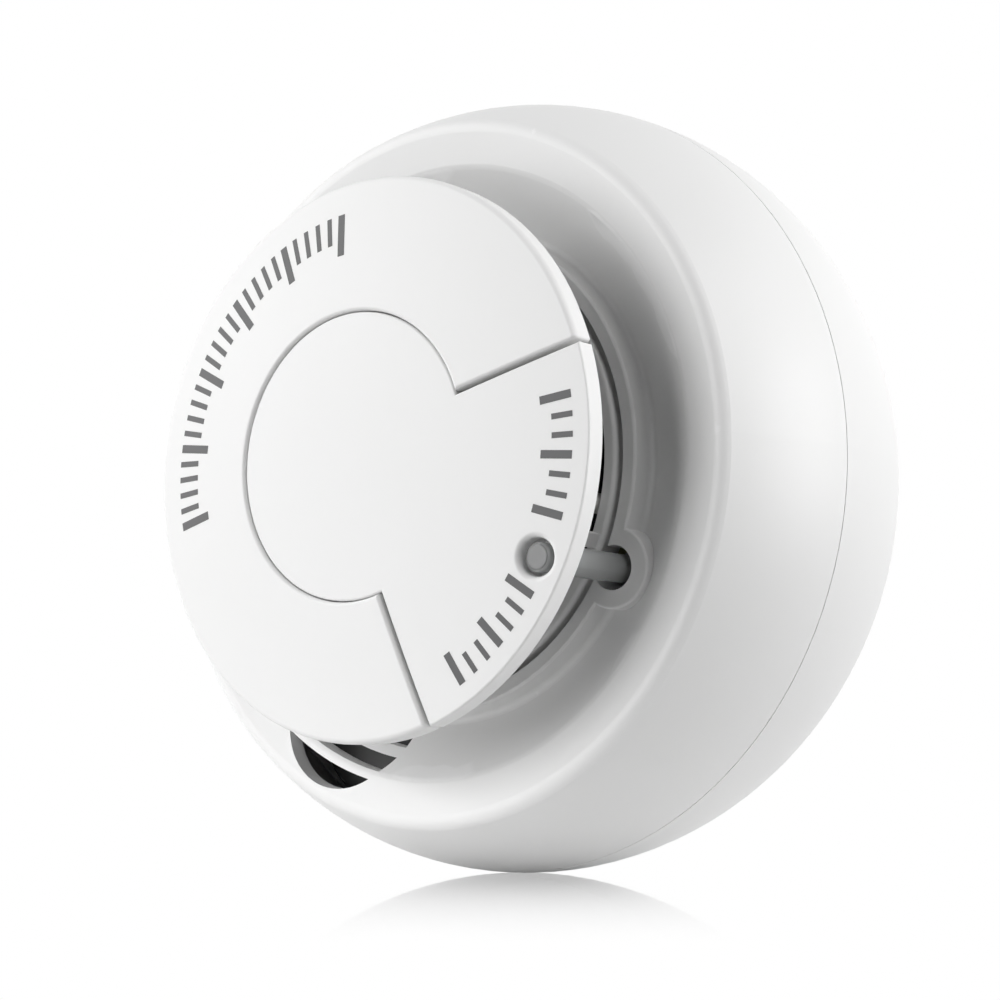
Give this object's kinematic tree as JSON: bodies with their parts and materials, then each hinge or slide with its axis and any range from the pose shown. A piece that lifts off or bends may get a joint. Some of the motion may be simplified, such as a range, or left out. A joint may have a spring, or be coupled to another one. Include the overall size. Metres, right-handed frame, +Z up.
{
  "type": "smoke detector",
  "caption": "Round wall or ceiling smoke detector with a mushroom head, keyhole test button, indicator lamp, sounder port and twist-lock mounting plate.",
  "frame": {"origin": "centre of the mounting plate's back face, which rests on the wall or ceiling", "axes": "+Y points into the wall along the detector's axis, the face looks to -Y, +Z is up as it hangs on a wall"},
  "size_m": [0.1056, 0.0549, 0.1056],
  "materials": {
    "white_abs": "satin moulded, fine spark-eroded grain",
    "white_acetal": "smooth, slightly waxy",
    "zinc_steel": "zinc plated",
    "spring_steel": "drawn wire",
    "clear_acrylic": "clear moulded acrylic, slightly hazed",
    "clear_lens": "clear epoxy over the lamp's chip",
    "black_mesh": "woven insect mesh",
    "black_abs": "matt, light-absorbing",
    "blue_lens": "tinted clear epoxy",
    "dark_lens": "dark filter epoxy",
    "green_board": "solder-masked glass epoxy",
    "black_nylon": "moulded nylon",
    "black_epoxy": "moulded epoxy",
    "aluminium_can": "drawn can",
    "brass_sheet": "rolled sheet",
    "white_ceramic": "fired ceramic",
    "battery_jacket": "plain printed-metal jacket, satin",
    "nickel_plate": "nickel plated"
  },
  "bodies": {
    "plate": {"mounting_plate": "white_abs"},
    "head": {"rear_housing": "white_abs", "front_housing": "white_abs", "housing_screws": "zinc_steel", "neck_cage": "white_abs", "cap_ring": "white_abs", "return_spring": "spring_steel", "light_guide": "clear_acrylic", "status_lamp": "clear_lens", "insect_screen": "black_mesh", "chamber_cover": "black_abs", "chamber_base": "black_abs", "infrared_emitter": "blue_lens", "light_receiver": "dark_lens", "circuit_board": "green_board", "board_screws": "zinc_steel", "switch_body": "black_nylon", "control_chips": "black_epoxy", "capacitors": "aluminium_can", "resistors": "black_epoxy", "sounder_case": "black_nylon", "sounder_lid": "black_nylon", "diaphragm": "brass_sheet", "piezo_element": "white_ceramic", "battery_case": "battery_jacket", "battery_terminals": "nickel_plate", "battery_contacts": "nickel_plate"},
    "button": {"test_button": "white_abs", "push_rod": "white_acetal"},
    "switch": {"switch_plunger": "white_acetal"}
  },
  "joints": [
    {"name": "head_twist", "type": "hinge", "parent": "plate", "child": "head", "pos_m": [0, 0, 0], "axis": [0, -1, 0], "range_deg": [0, 15]},
    {"name": "button_press", "type": "slide", "parent": "head", "child": "button", "axis": [0, 1, 0], "range_m": [0, 0.001], "stiffness_N_per_m": 1000, "springref_m": -0.001, "deforming": ["return_spring"]},
    {"name": "switch_press", "type": "slide", "parent": "head", "child": "switch", "axis": [0, 1, 0], "range_m": [0, 0.001]}
  ],
  "couplings": [
    {"joint": "switch_press", "follows": "button_press", "ratio": 1}
  ]
}
